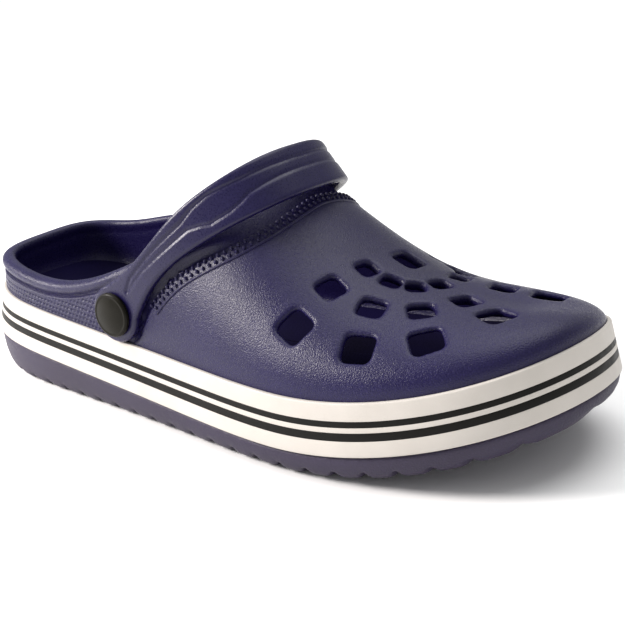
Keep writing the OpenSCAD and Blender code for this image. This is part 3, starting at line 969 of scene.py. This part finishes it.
def footbed_piece():
    """A slab with a dished top, from loops that close towards the middle."""
    edge = BAND_EDGE + WALL + GAP
    n, rings = LOOP, 40
    u = stations(n)
    p = outline_at(u)
    mid_x = np.clip(p[:, 0], *BED_ENDS)
    mid = np.column_stack([mid_x, profile(BED_LINE, mid_x)])
    rim = loop(edge, FOOT + BED_EDGE)
    loops = [loop(edge, FOOT + GLUE), loop(edge, FOOT + 4.6), rim]
    for i in range(1, rings + 1):
        t = i / rings
        xy = rim[:, :2] * (1 - t) + mid * t
        inset = t * np.linalg.norm(rim[:, :2] - mid, axis=1)
        dish = BED_DISH * smoothstep(0, 14, inset)
        z = FOOT + BED_EDGE - dish + rise(xy[:, 0])
        loops.append(np.column_stack([xy, z]))
    return stacked(loops)


points, faces = footbed_piece()
mesh_piece("insole", points, faces, footbed_foam, "shoe", "footbed")

# ---------------------------------------------------------------- rivets


def revolve(name, section, face_y, side, material, node):
    """A piece turned about the rivet axis from section points (radius, distance out of the boss face)."""
    turns = 96
    angles = np.arange(turns) * 2 * math.pi / turns
    r, out = np.array(section, float).T
    points = np.stack(
        [
            RIVET_X + r[:, None] * np.cos(angles) * side,
            np.broadcast_to((face_y + side * out)[:, None], (len(r), turns)),
            RIVET_Z + r[:, None] * np.sin(angles),
        ],
        -1,
    ).reshape(-1, 3)
    faces = strips(len(r), turns)[:, [0, 3, 2, 1]]
    mesh_piece(name, points, faces, material, "shoe", node)


def cap_section():
    face, tiny = GAP + STRAP_THICK + 0.2, 0.02
    rim, edge = CAP_D / 2, 1.1
    low = [
        (tiny, -BOSS_DEEP), (STUD_D / 2 - 0.4, -BOSS_DEEP), (STUD_D / 2, -BOSS_DEEP + 0.4),
        (STUD_D / 2, -BOSS_DEEP / 2), (SHANK_D / 2, -BOSS_DEEP / 2), (SHANK_D / 2, face),
        (rim - 0.3, face), (rim, face + 0.3),
    ]
    turn = [
        (rim - edge + edge * math.cos(a), face + 0.9 + edge * math.sin(a))
        for a in np.radians(np.arange(0, 91, 15))
    ]
    inner = rim - edge - 0.35
    crown = CAP_H - 0.9 - edge
    top = [(inner, face + 0.9 + edge - 0.12)] + [
        (max(tiny, (inner - 0.3) * (1 - i / 10)), face + 0.9 + edge - 0.05 + crown * (1 - (1 - i / 10) ** 2))
        for i in range(11)
    ]
    return low + turn + top


for name, node, side, face_y in (
    ("cap_outer", "rivet_cap_lateral", -1, BOSS_Y[0]),
    ("cap_inner", "rivet_cap_medial", 1, BOSS_Y[1]),
):
    revolve(name, cap_section(), face_y, side, rivet_plastic, node)

for node, material in (
    ("midsole", midsole_foam),
    ("rivet_back_lateral", rivet_plastic),
    ("rivet_back_medial", rivet_plastic),
):
    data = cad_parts[node].data
    data.materials.clear()
    data.materials.append(material)

# ---------------------------------------------------------------- floor, light and camera


def make_floor():
    n = Nodes("studio_floor")
    rough = n.ramp(n.noise(4, 2), 0.3, 0.7, 0.7, 0.85)
    n.set(Base_Color=rgb(0.97, 0.97, 0.97), Roughness=rough, Specular_IOR_Level=0.1)
    size = 12.0
    mesh = bpy.data.meshes.new("studio_floor")
    mesh.from_pydata(
        [(-size, -size, 0), (size, -size, 0), (size, size, 0), (-size, size, 0)], [], [(0, 1, 2, 3)]
    )
    mesh.materials.append(n.material)
    floor = bpy.data.objects.new("studio_floor", mesh)
    bpy.context.scene.collection.objects.link(floor)
    floor.location.z = min(0.0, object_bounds()[0].z) - 0.0002


def make_light(name, direction, distance, size, power, colour):
    data = bpy.data.lights.new(name, "AREA")
    data.shape, data.size, data.energy, data.color = "DISK", size, power, colour
    light = bpy.data.objects.new(name, data)
    bpy.context.scene.collection.objects.link(light)
    light.location = Vector(direction).normalized() * distance
    light.rotation_mode = "QUATERNION"
    light.rotation_quaternion = Vector(direction).to_track_quat("Z", "Y")


make_floor()
make_light("key", (-0.69, -0.50, 0.50), 1.2, 0.46, 22, (1.0, 0.95, 0.92))
sky = bpy.data.lights.new("top", "SUN")
sky.energy, sky.angle = 1.9, math.radians(60)
sky_light = bpy.data.objects.new("top", sky)
sky_light.rotation_euler = (math.radians(-14), math.radians(-5), 0)
bpy.context.scene.collection.objects.link(sky_light)
world = bpy.data.worlds.new("studio")
world.use_nodes = True
world.node_tree.nodes["Background"].inputs["Color"].default_value = rgb(1, 1, 1)
world.node_tree.nodes["Background"].inputs["Strength"].default_value = 0.5
bpy.context.scene.world = world

AZIMUTH, ELEVATION, ROLL = math.radians(38.78), math.radians(17.9), math.radians(-4.0)
TARGET, DISTANCE, LENS = Vector((0.00368, 0.02335, 0.02994)), 0.52824, 71.1
back = Vector(
    (math.sin(AZIMUTH) * math.cos(ELEVATION), -math.cos(AZIMUTH) * math.cos(ELEVATION), math.sin(ELEVATION))
)
level = Vector((math.cos(AZIMUTH), math.sin(AZIMUTH), 0))
upright = back.cross(level)
right = level * math.cos(ROLL) + upright * math.sin(ROLL)
up = upright * math.cos(ROLL) - level * math.sin(ROLL)
camera_data = bpy.data.cameras.new("camera")
camera_data.lens, camera_data.sensor_width = LENS, 36
camera = bpy.data.objects.new("camera", camera_data)
bpy.context.scene.collection.objects.link(camera)
camera.rotation_mode = "QUATERNION"
camera.rotation_quaternion = Matrix((right, up, back)).transposed().to_quaternion()
camera.location = TARGET + back * DISTANCE
bpy.context.scene.camera = camera
bpy.context.scene.view_settings.view_transform = "Standard"
